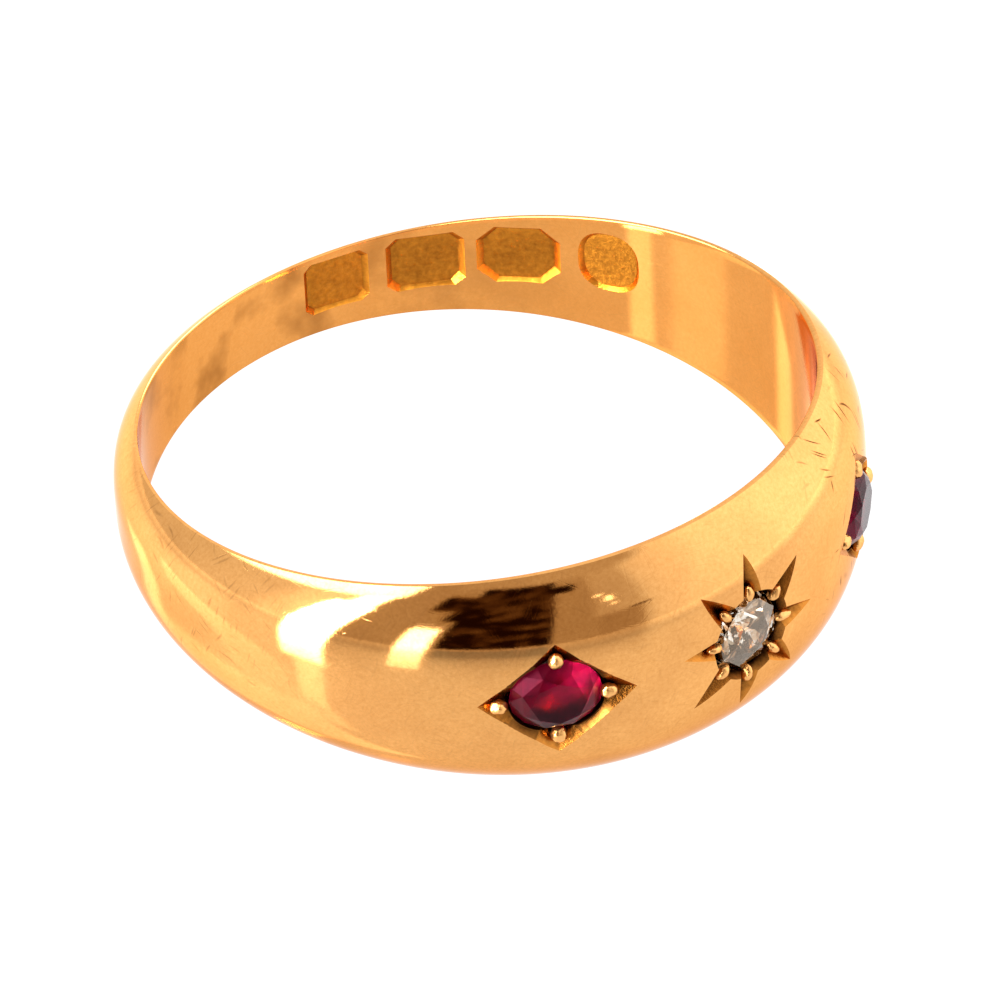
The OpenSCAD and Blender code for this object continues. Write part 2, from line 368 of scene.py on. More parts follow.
def worn_gold():
    material, tree, shader = new_material("worn_18_carat_gold")
    place = place_in_mm(tree)
    inside, film = inner_film(tree, place)
    hairs, nicks = scratches(tree, place, inside)
    patches = add(tree, "ShaderNodeTexNoise", {"Vector": place, "Scale": PATCH_FINENESS, "Detail": 4})
    where = add(
        tree,
        "ShaderNodeMapRange",
        {"Value": patches.outputs["Fac"], "From Min": 0.42, "From Max": 0.6},
    ).outputs[0]
    mottle = add(
        tree,
        "ShaderNodeTexNoise",
        {"Vector": place, "Scale": MOTTLE_FINENESS, "Detail": 5, "Roughness": 0.7},
    )
    spots = add(
        tree, "ShaderNodeMapRange", {"Value": mottle.outputs["Fac"], "From Min": 0.15, "From Max": 0.85}
    ).outputs[0]
    colour = add(
        tree,
        "ShaderNodeMix",
        {0: spots, 6: linear("#F5B66F"), 7: linear("#D4944F")},
        data_type="RGBA",
    ).outputs[2]
    browned = add(tree, "ShaderNodeMath", {0: where, 1: BROWN_SHARE}, operation="MULTIPLY").outputs[0]
    # Painted light: the redder light that bounces between the gold walls of the finger hole, painted into
    # their colour.
    painted_bounce_red = add(tree, "ShaderNodeMath", {0: inside, 1: PAINTED_BOUNCE_SHARE}, operation="MULTIPLY").outputs[0]
    layers = [
        (browned, "#B97A40"),
        (painted_bounce_red, "#E08A30"),
        (film, "#A5682F"),
        (hairs, "#C08447"),
        (nicks, "#5A2F10"),
    ]
    for cover, hex_colour in layers:
        colour = add(
            tree,
            "ShaderNodeMix",
            {0: cover, 6: colour, 7: linear(hex_colour)},
            data_type="RGBA",
        ).outputs[2]
    rough = add(
        tree,
        "ShaderNodeMapRange",
        {
            "Value": mottle.outputs["Fac"],
            "From Min": 0.3,
            "From Max": 0.7,
            "To Min": GLOSSY,
            "To Max": DULL,
        },
    )
    deep = add(
        tree,
        "ShaderNodeBump",
        {"Strength": 1, "Distance": MARK_RELIEF, "Height": highest(tree, [hairs, nicks])},
        invert=True,
    )
    fine = add(
        tree,
        "ShaderNodeBump",
        {
            "Strength": 1,
            "Distance": MOTTLE_RELIEF,
            "Height": mottle.outputs["Fac"],
            "Normal": deep.outputs[0],
        },
    )
    tree.links.new(colour, shader.inputs["Base Color"])
    tree.links.new(rough.outputs[0], shader.inputs["Roughness"])
    tree.links.new(fine.outputs[0], shader.inputs["Normal"])
    shader.inputs["Metallic"].default_value = 1
    shader.inputs["Specular Tint"].default_value = linear(EDGE_TINT)
    return material


WORN_GOLD = worn_gold()
print("made", WORN_GOLD.name, "from", len(WORN_GOLD.node_tree.nodes), "nodes")

# %% [markdown]
# ### Gold in the cuts
# A graver leaves a clean mirror, but soap, skin and dust gather in every cut, and a cut also lies in shade.
# Each cut material reads how deep it lies under the polished surface, from an attribute of the mesh called
# "depth", in millimetres, and turns from gold to dark brown on the way down: dirt in part, and in part
# painted shade that deepens towards the bottom of the cut.

# %% Gold in the cuts, the seats and the stamps
DIRT_FINENESS = 7


def cut_gold(name, hex_colour, dirt_and_shade_hex, dirt_and_shade_from, dirt_and_shade_to, roughness, bump):
    """Gold that is bare at one depth and dark brown at another, both in millimetres: dirt and painted shade
    in the cut.
    """
    material, tree, shader = new_material(name)
    blur = dirt_and_shade_to - dirt_and_shade_from
    place = place_in_mm(tree)
    dirt = add(
        tree,
        "ShaderNodeTexNoise",
        {"Vector": place, "Scale": DIRT_FINENESS, "Detail": 4, "Roughness": 0.6},
    )
    depth = add(tree, "ShaderNodeAttribute", attribute_name="depth").outputs["Fac"]
    uneven = add(
        tree,
        "ShaderNodeMath",
        {0: dirt.outputs["Fac"], 1: blur, 2: depth},
        operation="MULTIPLY_ADD",
    )
    # The mask below darkens the gold with depth: dirt in part, and painted shade that deepens towards the
    # bottom of the cut.
    film = add(
        tree,
        "ShaderNodeMapRange",
        {
            "Value": uneven.outputs[0],
            "From Min": dirt_and_shade_from + blur / 2,
            "From Max": dirt_and_shade_to + blur / 2,
        },
    )
    colour = add(
        tree,
        "ShaderNodeMix",
        {0: film.outputs[0], 6: linear(hex_colour), 7: linear(dirt_and_shade_hex)},
        data_type="RGBA",
    )
    rise = add(
        tree,
        "ShaderNodeBump",
        {"Strength": 1, "Distance": bump, "Height": dirt.outputs["Fac"]},
    )
    tree.links.new(colour.outputs[2], shader.inputs["Base Color"])
    tree.links.new(rise.outputs[0], shader.inputs["Normal"])
    shader.inputs["Roughness"].default_value = roughness
    shader.inputs["Metallic"].default_value = 1
    shader.inputs["Specular Tint"].default_value = linear(EDGE_TINT)
    return material


# The cut golds darken with depth, dirt in part and painted shade in part. The groove, wall and seat golds
# are also darker copies of the polished gold, which is painted shade.
GOLDS = [
    WORN_GOLD,
    cut_gold("bright_cut_gold", "#8E5B27", "#2C1406", 0.04, 0.24, 0.45, 0.000008),
    cut_gold("graver_cut_gold_dirt_and_painted_shade", "#B9752F", "#241004", 0.0, 0.26, 0.22, 0.00001),
    # The seat gold is nearly black: painted shade under the stones.
    cut_gold("seat_gold_painted_shade", "#4A2710", "#120802", 0.1, 0.5, 0.4, 0.000008),
    cut_gold("stamped_gold", "#E0922F", "#8A5216", 0.02, 0.18, 0.34, 0.00002),
    cut_gold("burnished_grain_gold", "#E9AE6A", "#A8702F", 0.2, 0.5, 0.28, 0.000004),
]
WALL, GROOVE, SEAT, STAMP, GRAIN = range(1, len(GOLDS))
print("made", [m.name for m in GOLDS])

# %% [markdown]
# ## The band as a swept section
# On the real ring a goldsmith files this shape from a cast blank. Its rule is simple: one section, scaled
# in width and thickness as it goes round the finger hole. So the section is drawn once, in shares of the
# band's half width and thickness, and a Geometry Nodes tree sweeps it, with a faint waviness where years
# on a finger have left the dome not quite true.

# %% Draw the section of the band in shares
OUTER_STEPS, CORNER_STEPS, INNER_STEPS = 72, 8, 22


def section_points():
    """x is radial share of the thickness, y share of the half width, z how far the corner is set back."""
    points = []
    for i in range(OUTER_STEPS + 1):
        share = math.sin(math.radians(-90 + 180 * i / OUTER_STEPS))
        points.append((EDGE_SHARE + (1 - EDGE_SHARE) * dome(share), share, 0))
    corner = []
    for i in range(1, CORNER_STEPS + 1):
        a = math.pi / 2 * i / CORNER_STEPS
        corner.append((EDGE_SHARE * (1 - math.sin(a)), 1, ROUND_SHARE * (1 - math.cos(a))))
    points += corner
    for i in range(1, INNER_STEPS):
        s = 1 - 2 * i / INNER_STEPS
        points.append((0, s, ROUND_SHARE * s))
    points += [(x, -y, -z) for x, y, z in reversed(corner)]
    return points


section = put("section", bpy.data.meshes.new("section"))
section.data.from_pydata(section_points(), [], [])
print("section has", len(section.data.vertices), "points")

# %% [markdown]
# A tree needs its inputs named once, and each object that uses it sets them by the socket's identifier
# before Blender first evaluates it. The result is then taken as a plain mesh and the modifier goes.

# %% Helpers that start a tree and grow a mesh from it


def new_tree(name, inputs):
    tree = bpy.data.node_groups.new(name, "GeometryNodeTree")
    tree.interface.new_socket("Geometry", in_out="OUTPUT", socket_type="NodeSocketGeometry")
    for label, kind in inputs:
        tree.interface.new_socket(label, in_out="INPUT", socket_type="NodeSocket" + kind)
    return tree, add(tree, "NodeGroupInput").outputs, add(tree, "NodeGroupOutput")


def grow(name, tree, values):
    """Evaluates the tree with these values and keeps the result as an object with a plain mesh."""
    host = put(name, bpy.data.meshes.new(name))
    modifier = host.modifiers.new(name, "NODES")
    modifier.node_group = tree
    for item in tree.interface.items_tree:
        if item.in_out == "INPUT":
            modifier[item.identifier] = values[item.name]
    depsgraph = bpy.context.evaluated_depsgraph_get()
    mesh = bpy.data.meshes.new_from_object(host.evaluated_get(depsgraph), depsgraph=depsgraph)
    host.modifiers.remove(modifier)
    host.data = mesh
    return host


# %% [markdown]
# The tree starts from a grid whose rows are the steps round the finger hole and whose columns are the
# points of the section. Row and column are worked out from the index of each corner. The row gives the
# turn, and with it how wide and how thick the band is there, by the rule that the sizes above follow.

# %% From a corner's index to the turn, the half width and the thickness


def row_and_point(tree, given, columns):
    index = add(tree, "GeometryNodeInputIndex").outputs[0]
    row = add(tree, "ShaderNodeMath", {0: index, 1: columns}, operation="DIVIDE")
    whole = add(tree, "ShaderNodeMath", {0: row.outputs[0]}, operation="FLOOR")
    column = add(tree, "ShaderNodeMath", {0: index, 1: columns}, operation="MODULO")
    point = add(
        tree, "ShaderNodeMath", {0: column.outputs[0], 1: given["Steps Across"]}, operation="MODULO"
    )
    return whole.outputs[0], point.outputs[0]


def half_width_and_thickness(tree, given, cosine):
    half = add(
        tree,
        "ShaderNodeMapRange",
        {
            "Value": cosine,
            "From Min": -1,
            "To Min": given["Back Half Width"],
            "To Max": given["Front Half Width"],
        },
    )
    full = add(tree, "ShaderNodeMapRange", {"Value": cosine, "From Min": -1})
    fall = add(tree, "ShaderNodeMath", {0: full.outputs[0], 1: given["Thinning"]}, operation="POWER")
    thick = add(
        tree,
        "ShaderNodeMapRange",
        {
            "Value": fall.outputs[0],
            "To Min": given["Back Thickness"],
            "To Max": given["Front Thickness"],
        },
    )
    return half.outputs[0], thick.outputs[0]


print("columns of the grid:", len(section.data.vertices) + 1)

# %% [markdown]
# The column gives the point of the section, in shares. Times the thickness and the half width there, they
# become a radius and a height, and the turn carries them to their place round the hole. The last row and
# column fall on the first ones, and merging them closes the band.

# %% Sweep the section round the finger hole
MERGE_WITHIN = 0.0005


def swept_place(tree, given, whole, point):
    turn = add(
        tree,
        "ShaderNodeMapRange",
        {"Value": whole, "From Max": given["Steps Around"], "To Max": 2 * math.pi},
    ).outputs[0]
    sine = add(tree, "ShaderNodeMath", {0: turn}, operation="SINE").outputs[0]
    cosine = add(tree, "ShaderNodeMath", {0: turn}, operation="COSINE").outputs[0]
    half, thick = half_width_and_thickness(tree, given, cosine)
    drawn = add(tree, "GeometryNodeObjectInfo", {"Object": given["Section"]})
    sample = add(
        tree,
        "GeometryNodeSampleIndex",
        {
            "Geometry": drawn.outputs["Geometry"],
            "Value": add(tree, "GeometryNodeInputPosition").outputs[0],
            "Index": point,
        },
        data_type="FLOAT_VECTOR",
    )
    share = add(tree, "ShaderNodeSeparateXYZ", {0: sample.outputs[0]}).outputs
    radius = add(
        tree,
        "ShaderNodeMath",
        {0: share["X"], 1: thick, 2: given["Hole Radius"]},
        operation="MULTIPLY_ADD",
    ).outputs[0]
    set_back = add(tree, "ShaderNodeMath", {0: share["Z"], 1: thick}, operation="MULTIPLY")
    wide = add(tree, "ShaderNodeMath", {0: share["Y"], 1: half}, operation="MULTIPLY")
    height = add(
        tree, "ShaderNodeMath", {0: wide.outputs[0], 1: set_back.outputs[0]}, operation="SUBTRACT"
    )
    x = add(tree, "ShaderNodeMath", {0: radius, 1: sine}, operation="MULTIPLY")
    front = add(tree, "ShaderNodeMath", {0: radius, 1: cosine}, operation="MULTIPLY")
    y = add(tree, "ShaderNodeMath", {0: front.outputs[0], 1: -1}, operation="MULTIPLY")
    place = {"X": x.outputs[0], "Y": y.outputs[0], "Z": height.outputs[0]}
    return add(tree, "ShaderNodeCombineXYZ", place).outputs[0]


def swept_band(tree, given):
    rows = add(tree, "ShaderNodeMath", {0: given["Steps Around"], 1: 1}, operation="ADD")
    columns = add(tree, "ShaderNodeMath", {0: given["Steps Across"], 1: 1}, operation="ADD").outputs[0]
    grid = add(tree, "GeometryNodeMeshGrid", {"Vertices X": rows.outputs[0], "Vertices Y": columns})
    whole, point = row_and_point(tree, given, columns)
    swept = add(
        tree,
        "GeometryNodeSetPosition",
        {"Geometry": grid.outputs["Mesh"], "Position": swept_place(tree, given, whole, point)},
    )
    return add(
        tree,
        "GeometryNodeMergeByDistance",
        {"Geometry": swept.outputs[0], "Distance": MERGE_WITHIN},
    ).outputs[0]


print("corners closer than", MERGE_WITHIN, "mm are merged")

# %% [markdown]
# Wear takes gold away and never adds any, so the waviness only pushes the surface inward, along its own
# normal. The tree ends by making plain geometry with its material, and the band is grown from it.

# %% The tree of the band, and the blank grown from it
AROUND_STEPS = 480
WAVINESS, WAVE_FINENESS = 0.007, 0.45


def worn_surface(tree, given, surface):
    wave = add(
        tree, "ShaderNodeTexNoise", {"Scale": given["Wave Fineness"], "Detail": 1, "Roughness": 0.4}
    )
    swing = add(tree, "ShaderNodeMapRange", {"Value": wave.outputs["Fac"], "To Min": -1, "To Max": 0})
    dent = add(
        tree, "ShaderNodeMath", {0: swing.outputs[0], 1: given["Waviness"]}, operation="MULTIPLY"
    )
    along = add(
        tree,
        "ShaderNodeVectorMath",
        {0: add(tree, "GeometryNodeInputNormal").outputs[0], "Scale": dent.outputs[0]},
        operation="SCALE",
    )
    return add(
        tree, "GeometryNodeSetPosition", {"Geometry": surface, "Offset": along.outputs[0]}
    ).outputs[0]


def band_tree():
    sizes = ["Hole Radius", "Front Half Width", "Back Half Width", "Front Thickness", "Back Thickness"]
    sizes += ["Thinning", "Waviness", "Wave Fineness"]
    inputs = [("Section", "Object"), ("Steps Around", "Int"), ("Steps Across", "Int")]
    inputs += [(size, "Float") for size in sizes] + [("Gold", "Material")]
    tree, given, end = new_tree("swept_band", inputs)
    worn = worn_surface(tree, given, swept_band(tree, given))
    smooth = add(tree, "GeometryNodeSetShadeSmooth", {0: worn})
    real = add(tree, "GeometryNodeRealizeInstances", {0: smooth.outputs[0]})
    gold = add(
        tree,
        "GeometryNodeSetMaterial",
        {"Geometry": real.outputs[0], "Material": given["Gold"]},
    )
    tree.links.new(gold.outputs[0], end.inputs[0])
    return tree


blank = grow(
    "band_blank",
    band_tree(),
    {
        "Section": section,
        "Steps Around": AROUND_STEPS,
        "Steps Across": len(section.data.vertices),
        "Hole Radius": HOLE_R,
        "Front Half Width": FRONT_WIDTH / 2,
        "Back Half Width": BACK_WIDTH / 2,
        "Front Thickness": FRONT_THICKNESS,
        "Back Thickness": BACK_THICKNESS,
        "Thinning": THINNING,
        "Waviness": WAVINESS,
        "Wave Fineness": WAVE_FINENESS,
        "Gold": WORN_GOLD,
    },
)
print("blank:", len(blank.data.vertices), "vertices", len(blank.data.polygons), "faces")

# %% [markdown]
# ## Cutting the gold
# The setter drills a seat for each stone and then cuts towards it with a graver: eight V grooves make the
# star, and four sloping walls make each lozenge. Here each cut is a small solid, and the Boolean modifier
# takes it away, which keeps the edges crisp. A cut keeps its own material on the faces that it leaves.

# %% Places on the dome and over a girdle, and a solid round some points
FLAT_WITHIN = 0.5


def dome_point(turn, across, up):
    there = turn + math.degrees(across / crest(turn))
    return polar(there, outer_radius(there, up), up)


def seat_point(turn, sunk, across, up, out):
    """A point over a stone's girdle plane: across the band's length, up its width, and outward."""
    angle = math.radians(turn)
    radius = crest(turn) - sunk + out
    return Vector(
        (
            radius * math.sin(angle) + across * math.cos(angle),
            -radius * math.cos(angle) + across * math.sin(angle),
            up,
        )
    )


def seat_matrix(turn, sunk):
    """Takes a stone drawn with its girdle on XY and its table up to its place in the band."""
    outward = polar(turn, 1, 0)
    across = polar(turn + 90, 1, 0)
    turned = Matrix((across, Vector((0, 0, 1)), outward)).transposed().to_4x4()
    return Matrix.Translation(polar(turn, crest(turn) - sunk, 0)) @ turned


def keep(name, shape):
    """An object with the shape as its mesh."""
    mesh = bpy.data.meshes.new(name)
    shape.to_mesh(mesh)
    shape.free()
    return put(name, mesh)


def hull(name, points, slot_index=0):
    """A closed convex solid round the points, with what is flat kept as one face."""
    shape = bmesh.new()
    for p in points:
        shape.verts.new(p)
    made = bmesh.ops.convex_hull(shape, input=shape.verts)
    spare = {v for v in made["geom_interior"] + made["geom_unused"] if isinstance(v, bmesh.types.BMVert)}
    bmesh.ops.delete(shape, geom=list(spare), context="VERTS")
    bmesh.ops.dissolve_limit(
        shape, angle_limit=math.radians(FLAT_WITHIN), verts=shape.verts, edges=shape.edges
    )
    bmesh.ops.recalc_face_normals(shape, faces=shape.faces)
    for face in shape.faces:
        face.material_index = slot_index
    return keep(name, shape)


print("2 mm off its crest the front has fallen to", round(outer_radius(0, 2), 2), "mm")

# %% [markdown]
# The star is cut by hand, so no two of its points are quite alike. The angles and lengths below are what
# each of the eight graver strokes measures, clockwise from the one that points up. The same stroke, wider
# and deeper, opens the four corners of each lozenge.

# %% The graver's strokes
DIAMOND_D, DIAMOND_SUNK = 2.2, 0.4
RUBY_LENGTH, RUBY_WIDTH, RUBY_SUNK = 2.45, 2.1, 0.3
LEFT_RUBY, RIGHT_RUBY = -31.5, 34
OVERSHOOT, CUT_FLOOR = 1.4, 0.02
STAR_ANGLES = [2, 51.5, 96, 139, 186, 232.5, 276.5, 320]
STAR_REACHES = [2.35, 2.33, 2.3, 2.37, 2.26, 2.4, 2.2, 2.4]
STAR_HALF_WIDTHS = [0.33, 0.38, 0.36, 0.34, 0.33, 0.36, 0.35, 0.36]
UNDER_STONE = 0.1
STAR_NEAR = DIAMOND_D / 2 - UNDER_STONE


def graver_stroke(name, turn, sunk, angle, near, floor, reach, half):
    """A V groove that runs from deep beside the stone up to a tip on the dome."""
    way = (math.sin(math.radians(angle)), math.cos(math.radians(angle)))
    root = seat_point(turn, sunk, near * way[0], near * way[1], floor)
    rim = [dome_point(turn, reach * way[0], reach * way[1])]
    for side in (-1, 1):
        rim.append(
            dome_point(turn, near * way[0] + side * half * way[1], near * way[1] - side * half * way[0])
        )
    return hull(name, [root] + [root + OVERSHOOT * (p - root) for p in rim], GROOVE)


cutters = [
    graver_stroke(f"groove_{i}", 0, DIAMOND_SUNK, angle, STAR_NEAR, CUT_FLOOR, reach, half)
    for i, (angle, reach, half) in enumerate(zip(STAR_ANGLES, STAR_REACHES, STAR_HALF_WIDTHS))
]
print("strokes of the star:", len(cutters))

# %% [markdown]
# A lozenge has straight edges on the dome and an oval round the stone below, and its walls run from one to
# the other. So its cutter is a loft: a ring of points on the oval, each joined to its point on the outline
# and carried on past the metal.

# %% The lozenges
LOZENGE_LENGTH, LOZENGE_HEIGHT = 4.1, 3.4
SIDE_STEPS, FOOT_GAP, FOOT_HEIGHT = 16, 0.06, 0.08
CORNER_NEAR, CORNER_FLOOR, CORNER_SHARE = 0.9, -0.24, 0.9


def lozenge_outline():
    tips = [Vector(t) for t in ((LOZENGE_LENGTH / 2, 0), (0, LOZENGE_HEIGHT / 2))]
    tips += [-tips[0], -tips[1]]
    points = []
    for tip, next_tip in zip(tips, tips[1:] + tips[:1]):
        points += [tip.lerp(next_tip, i / SIDE_STEPS) for i in range(SIDE_STEPS)]
    return points


def loft(name, low, high, slot_index):
    """A closed solid between two rings of points."""
    shape = bmesh.new()
    rings = [[shape.verts.new(p) for p in ring] for ring in (low, high)]
    count = len(low)
    for k in range(count):
        after = (k + 1) % count
        shape.faces.new((rings[0][k], rings[0][after], rings[1][after], rings[1][k]))
    for ring, points in zip(rings, (low, high)):
        middle = shape.verts.new(sum(points, Vector()) / count)
        for k in range(count):
            shape.faces.new((ring[k], ring[(k + 1) % count], middle))
    bmesh.ops.triangulate(shape, faces=shape.faces)
    bmesh.ops.recalc_face_normals(shape, faces=shape.faces)
    for face in shape.faces:
        face.material_index = slot_index
    return keep(name, shape)


def lozenge(name, turn):
    foot_rx, foot_ry = RUBY_LENGTH / 2 + FOOT_GAP, RUBY_WIDTH / 2 + FOOT_GAP
    low, high = [], []
    for a, u in lozenge_outline():
        angle = math.atan2(u / foot_ry, a / foot_rx)
        foot = seat_point(
            turn, RUBY_SUNK, foot_rx * math.cos(angle), foot_ry * math.sin(angle), FOOT_HEIGHT
        )
        low.append(foot)
        high.append(foot + OVERSHOOT * (dome_point(turn, a, u) - foot))
    return loft(name, low, high, WALL)


for side, turn in (("left", LEFT_RUBY), ("right", RIGHT_RUBY)):
    cutters.append(lozenge(f"{side}_lozenge", turn))
    for i in range(4):
        reach, other = (LOZENGE_LENGTH / 2, LOZENGE_HEIGHT / 2)[:: 1 if i % 2 else -1]
        half = CORNER_SHARE * other * (reach - CORNER_NEAR) / reach
        cutters.append(
            graver_stroke(
                f"{side}_corner_{i}", turn, RUBY_SUNK, 90 * i, CORNER_NEAR, CORNER_FLOOR, reach, half
            )
        )
print("cutters:", [c.name for c in cutters])

# %% [markdown]
# A seat is turned like a lathe profile: a wall round the girdle, a cone under the pavilion, and the light
# hole that lets light in from behind. Round the diamond the setter has burnished the mouth of the seat
# down, so it opens like a shallow funnel and shows the whole stone.

# %% The seats
GIRDLE_GAP, GIRDLE, LIGHT_R = 0.03, 0.06, 0.5
DIAMOND_PAVILION, RUBY_PAVILION = 0.85, 0.75
DIAMOND_MOUTH, MOUTH_FLOOR, MOUTH_RISE = 0.2, 0.1, 0.1
SEAT_SIDES, PAST_THE_GOLD = 96, 0.4
LOWER_SHARE, CULET_SHARE = 0.3, 0.1
FACETS = 8
HALF_FACET = math.pi / FACETS


def lower_depth(pavilion):
    """How far the lower facets of a stone run down, for its depth at the culet."""
    return pavilion * (1 - LOWER_SHARE * math.cos(HALF_FACET)) / (1 - CULET_SHARE)


def seat(name, turn, sunk, length, width, pavilion, mouth, slot_index):
    """A turned hole for one stone, drawn with its girdle on XY and stretched to its oval."""
    wall = width / 2 + GIRDLE_GAP
    slope = lower_depth(pavilion) / (width / 2 * (1 - LOWER_SHARE))
    top = -GIRDLE - GIRDLE_GAP
    profile = [
        (wall + mouth * (1 + MOUTH_RISE), sunk + MOUTH_RISE),
        (wall, MOUTH_FLOOR),
        (wall, top),
        (LIGHT_R, top - slope * (wall - LIGHT_R)),
        (LIGHT_R, -(band_thickness(turn) - sunk + PAST_THE_GOLD)),
    ]
    shape = bmesh.new()
    angles = [2 * math.pi * k / SEAT_SIDES for k in range(SEAT_SIDES)]
    rings = []
    for radius, z in profile:
        rings.append(
            [
                shape.verts.new((radius * math.cos(a) * length / width, radius * math.sin(a), z))
                for a in angles
            ]
        )
    for low, high in zip(rings, rings[1:]):
        for k in range(SEAT_SIDES):
            after = (k + 1) % SEAT_SIDES
            shape.faces.new((low[k], low[after], high[after], high[k]))
    shape.faces.new(rings[0])
    shape.faces.new(rings[-1])
    bmesh.ops.recalc_face_normals(shape, faces=shape.faces)
    for face in shape.faces:
        above = face.calc_center_median().z > 0
        # Below the girdle the seat takes the near-black seat gold: painted shade under the stone.
        face.material_index = slot_index if above else SEAT
    piece = keep(name, shape)
    piece.data.transform(seat_matrix(turn, sunk))
    return piece


cutters += [
    seat("diamond_seat", 0, DIAMOND_SUNK, DIAMOND_D, DIAMOND_D, DIAMOND_PAVILION, DIAMOND_MOUTH, WALL),
    seat("left_ruby_seat", LEFT_RUBY, RUBY_SUNK, RUBY_LENGTH, RUBY_WIDTH, RUBY_PAVILION, 0, SEAT),
    seat("right_ruby_seat", RIGHT_RUBY, RUBY_SUNK, RUBY_LENGTH, RUBY_WIDTH, RUBY_PAVILION, 0, SEAT),
]
print("cutters now:", len(cutters))

# %% [markdown]
# Inside the back of the band there are four stamped cartouches: two rectangles with cut corners, an
# octagon and a plump oval. They are bare here, sunk a tenth of a millimetre.

# %% The cartouches
MARK_DEPTH, MARK_WIDTH, MARK_HEIGHT, MARK_RISE = 0.1, 2.1, 1.6, 0.5
FIRST_MARK, MARK_STEP = 163, 16.3
MARK_SHARES = [(0.85, 1, 0.25), (0.95, 1.05, 0.3), (1, 1.1, 0.5)]
OVAL_SHARES, OVAL_STEPS, OVAL_POWER = (0.8, 1.15), 36, 0.8
MARK_FLOOR = 0.9
MARK_SLOPE = [(MARK_FLOOR, MARK_DEPTH), (1 + 4 * (1 - MARK_FLOOR), -4 * MARK_DEPTH)]


def cut_corners(w, h, cut):
    """The eight corners of a rectangle that has lost its four, given half its width and height."""
    return [
        (w - cut, h), (w, h - cut), (w, cut - h), (w - cut, -h),
        (cut - w, -h), (-w, cut - h), (-w, h - cut), (cut - w, h),
    ]


def plump_oval(w, h):
    points = []
    for i in range(OVAL_STEPS):
        a = 2 * math.pi * i / OVAL_STEPS
        x, y = (math.copysign(abs(c) ** OVAL_POWER, c) for c in (math.sin(a), math.cos(a)))
        points.append((w * x, h * y))
    return points


def cartouche(number, height, outline):
    """A stamp with sloping sides, pressed into the wall of the finger hole from inside."""
    turn = FIRST_MARK - number * MARK_STEP
    rise = MARK_RISE * (band_width(turn) - height) / 2
    place = seat_matrix(turn, band_thickness(turn))
    points = [
        place @ Vector((x * share, y * share + rise, z)) for x, y in outline for share, z in MARK_SLOPE
    ]
    return hull(f"cartouche_{number}", points, STAMP)


for number, (wide, tall, cut) in enumerate(MARK_SHARES):
    w, h = wide * MARK_WIDTH / 2, tall * MARK_HEIGHT / 2
    cutters.append(cartouche(number, 2 * h, cut_corners(w, h, cut * h)))
oval_width, oval_height = OVAL_SHARES[0] * MARK_WIDTH, OVAL_SHARES[1] * MARK_HEIGHT
cutters.append(cartouche(len(MARK_SHARES), oval_height, plump_oval(oval_width / 2, oval_height / 2)))
print("cutters now:", len(cutters))

# %% [markdown]
# All the cutters are taken away one after another. The result is taken as a plain mesh, its sharp edges
# are marked by angle, so the dome stays a smooth mirror and the cuts stay crisp. Each corner of the mesh
# notes how deep it lies under the uncut dome, for the dirt and painted shade in the cuts, and the band is
# laid down. The sloping sides of the stamps get the graver's gold, so they darken with dirt and painted
# shade as a groove does.

# %% Cut the band
SHARP_FROM, JOIN_WITHIN = 25, 0.0001
STAMP_FLOOR = 0.95
for material in GOLDS[1:]:
    blank.data.materials.append(material)
for cutter in cutters:
    for material in GOLDS:
        cutter.data.materials.append(material)
    modifier = blank.modifiers.new(cutter.name, "BOOLEAN")
    modifier.operation = "DIFFERENCE"
    modifier.solver = "EXACT"
    modifier.object = cutter
depsgraph = bpy.context.evaluated_depsgraph_get()
cut_mesh = bpy.data.meshes.new_from_object(blank.evaluated_get(depsgraph), depsgraph=depsgraph)
band = put("gold_band", cut_mesh)
for spare in cutters + [blank, section]:
    bpy.data.objects.remove(spare)


def mark_sharp(mesh, degrees):
    """Edges that turn more than this, or that part two finishes, are sharp. The rest is smooth."""
    shape = bmesh.new()
    shape.from_mesh(mesh)
    bmesh.ops.remove_doubles(shape, verts=shape.verts, dist=JOIN_WITHIN)
    for face in shape.faces:
        face.smooth = True
    for edge in shape.edges:
        if len(edge.link_faces) == 2:
            parted = edge.link_faces[0].material_index != edge.link_faces[1].material_index
            edge.smooth = not parted and edge.calc_face_angle() < math.radians(degrees)
    open_edges = sum(len(edge.link_faces) != 2 for edge in shape.edges)
    shape.to_mesh(mesh)
    shape.free()
    return open_edges


def note_depth(mesh):
    """Millimetres under the polished surface, at each corner of a mesh that still stands upright."""
    depths = []
    for corner in mesh.vertices:
        x, y, z = corner.co
        radius = math.hypot(x, y)
        under_dome = outer_radius(math.degrees(math.atan2(x, -y)), z) - radius
        depths.append(max(0, min(under_dome, radius - HOLE_R)))
    mesh.attributes.new("depth", "FLOAT", "POINT").data.foreach_set("value", depths)
    return max(depths)


print("open edges:", mark_sharp(band.data, SHARP_FROM), "faces:", len(band.data.polygons))
print("deepest:", round(note_depth(band.data), 3), "mm")
for face in band.data.polygons:
    outward = Vector((face.center.x, face.center.y, 0)).normalized()
    # The stamps' sloping sides take the groove gold, so they darken with dirt and painted shade.
    if face.material_index == STAMP and abs(face.normal.dot(outward)) < STAMP_FLOOR:
        face.material_index = GROOVE
band.data.transform(lay_down)

# %% [markdown]
# ## The grains
# A stone in such a setting is held by grains: beads of gold that the setter raises out of the metal beside
# it with a graver and rounds with a hollow punch. There are eight round the diamond, one in each groove,
# and four round each ruby. A tree sets a lumpy bead at each marked point, turned away from the stone,
# with a fixed seed for its size and its lumps.

# %% Mark the places of the grains
STAR_GRAIN, RUBY_GRAIN = (0.23, 0.13, 0.17), (0.24, 0.2, 0.19)
STAR_GRAIN_REACH, STAR_GRAIN_HEIGHT, RUBY_GRAIN_HEIGHT = DIAMOND_D / 2 + 0.1, 0.2, 0.15
RUBY_GRAIN_REACHES = [1.14, 1.31, 1.18, 1.5]


